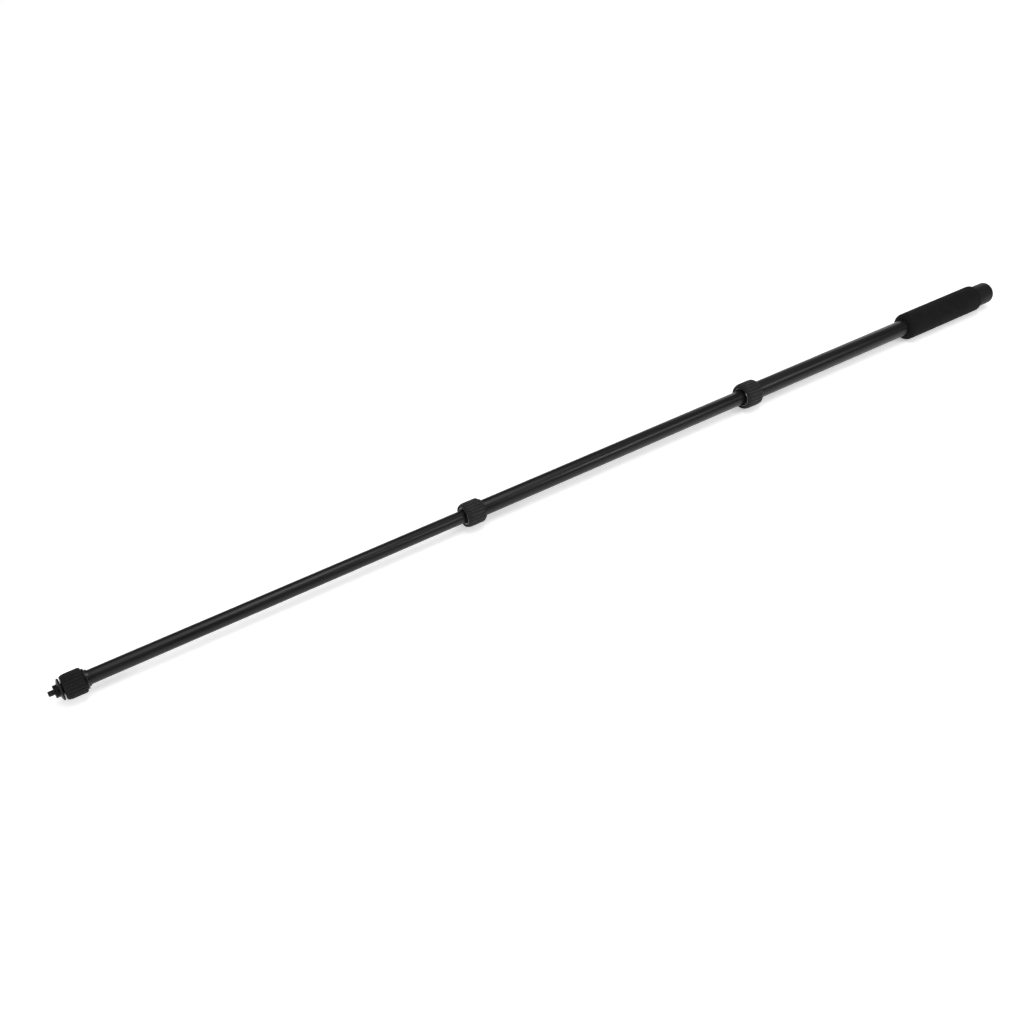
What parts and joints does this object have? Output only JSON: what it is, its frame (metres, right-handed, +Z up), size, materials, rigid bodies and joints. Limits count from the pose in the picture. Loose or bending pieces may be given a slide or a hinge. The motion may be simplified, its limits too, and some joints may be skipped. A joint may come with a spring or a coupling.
{
  "type": "boom pole",
  "caption": "Telescopic microphone boom pole with twist locks, a threaded tip adaptor, a foam grip and an end cap, shown fully drawn out.",
  "frame": {"origin": "middle of the drawn-out pole, on the surface that it lies on", "axes": "+X along the pole towards the grip and end cap, -X towards the threaded tip, +Z up"},
  "size_m": [1.487, 0.04, 0.04],
  "materials": {
    "outer_tube": "black anodised, satin",
    "middle_tube": "black anodised, satin",
    "inner_tube": "black anodised, satin",
    "ferrule": "black anodised, turned",
    "lock_nut": "moulded ribs, matte black",
    "nut_bezel": "polished black",
    "collet": "natural nylon",
    "slip_ring": "black, slippery",
    "guide_bush": "dark moulded plastic",
    "butt_plug": "black moulded plastic",
    "foam_grip": "closed-cell foam, black",
    "end_cap": "smooth moulded, dark grey",
    "adaptor_metal": "black anodised, turned",
    "stud": "blackened steel"
  },
  "bodies": {
    "handle": {"outer_tube": "outer_tube", "foam_grip": "foam_grip", "end_cap": "end_cap", "butt_plug": "butt_plug", "outer_ferrule": "ferrule"},
    "outer_clamp": {"outer_slip_ring": "slip_ring", "outer_collet": "collet"},
    "outer_nut": {"outer_lock_nut": "lock_nut", "outer_nut_bezel": "nut_bezel"},
    "middle_section": {"middle_tube": "middle_tube", "middle_guide_bush": "guide_bush", "middle_ferrule": "ferrule"},
    "middle_clamp": {"middle_slip_ring": "slip_ring", "middle_collet": "collet"},
    "middle_nut": {"middle_lock_nut": "lock_nut", "middle_nut_bezel": "nut_bezel"},
    "inner_section": {"inner_tube": "inner_tube", "inner_guide_bush": "guide_bush", "tip_ferrule": "ferrule"},
    "tip_clamp": {"tip_slip_ring": "slip_ring", "tip_collet": "collet"},
    "tip_nut": {"tip_lock_nut": "lock_nut", "tip_nut_bezel": "nut_bezel"},
    "adaptor": {"adaptor_spigot": "adaptor_metal", "adaptor_shoulder": "adaptor_metal", "adaptor_stud": "stud"}
  },
  "joints": [
    {"name": "middle_section_retract", "type": "slide", "parent": "handle", "child": "middle_section", "axis": [1, 0, 0], "range_m": [0, 0.427]},
    {"name": "inner_section_retract", "type": "slide", "parent": "middle_section", "child": "inner_section", "axis": [1, 0, 0], "range_m": [0, 0.458]},
    {"name": "adaptor_pull", "type": "slide", "parent": "inner_section", "child": "adaptor", "axis": [-1, 0, 0], "range_m": [0, 0.043]},
    {"name": "outer_clamp_slide", "type": "slide", "parent": "handle", "child": "outer_clamp", "axis": [-1, 0, 0], "range_m": [0, 0.001]},
    {"name": "outer_nut_turn", "type": "hinge", "parent": "outer_clamp", "child": "outer_nut", "pos_m": [0.2161, 0, 0.02], "axis": [-1, 0, 0], "range_deg": [0, 180]},
    {"name": "middle_clamp_slide", "type": "slide", "parent": "middle_section", "child": "middle_clamp", "axis": [-1, 0, 0], "range_m": [0, 0.001]},
    {"name": "middle_nut_turn", "type": "hinge", "parent": "middle_clamp", "child": "middle_nut", "pos_m": [-0.2403, 0, 0.02], "axis": [-1, 0, 0], "range_deg": [0, 180]},
    {"name": "tip_clamp_slide", "type": "slide", "parent": "inner_section", "child": "tip_clamp", "axis": [-1, 0, 0], "range_m": [0, 0.001]},
    {"name": "tip_nut_turn", "type": "hinge", "parent": "tip_clamp", "child": "tip_nut", "pos_m": [-0.7282, 0, 0.02], "axis": [-1, 0, 0], "range_deg": [0, 180]}
  ],
  "couplings": [
    {"joint": "outer_clamp_slide", "follows": "outer_nut_turn", "m_per_rad": 0.000318},
    {"joint": "middle_clamp_slide", "follows": "middle_nut_turn", "m_per_rad": 0.000318},
    {"joint": "tip_clamp_slide", "follows": "tip_nut_turn", "m_per_rad": 0.000318}
  ]
}
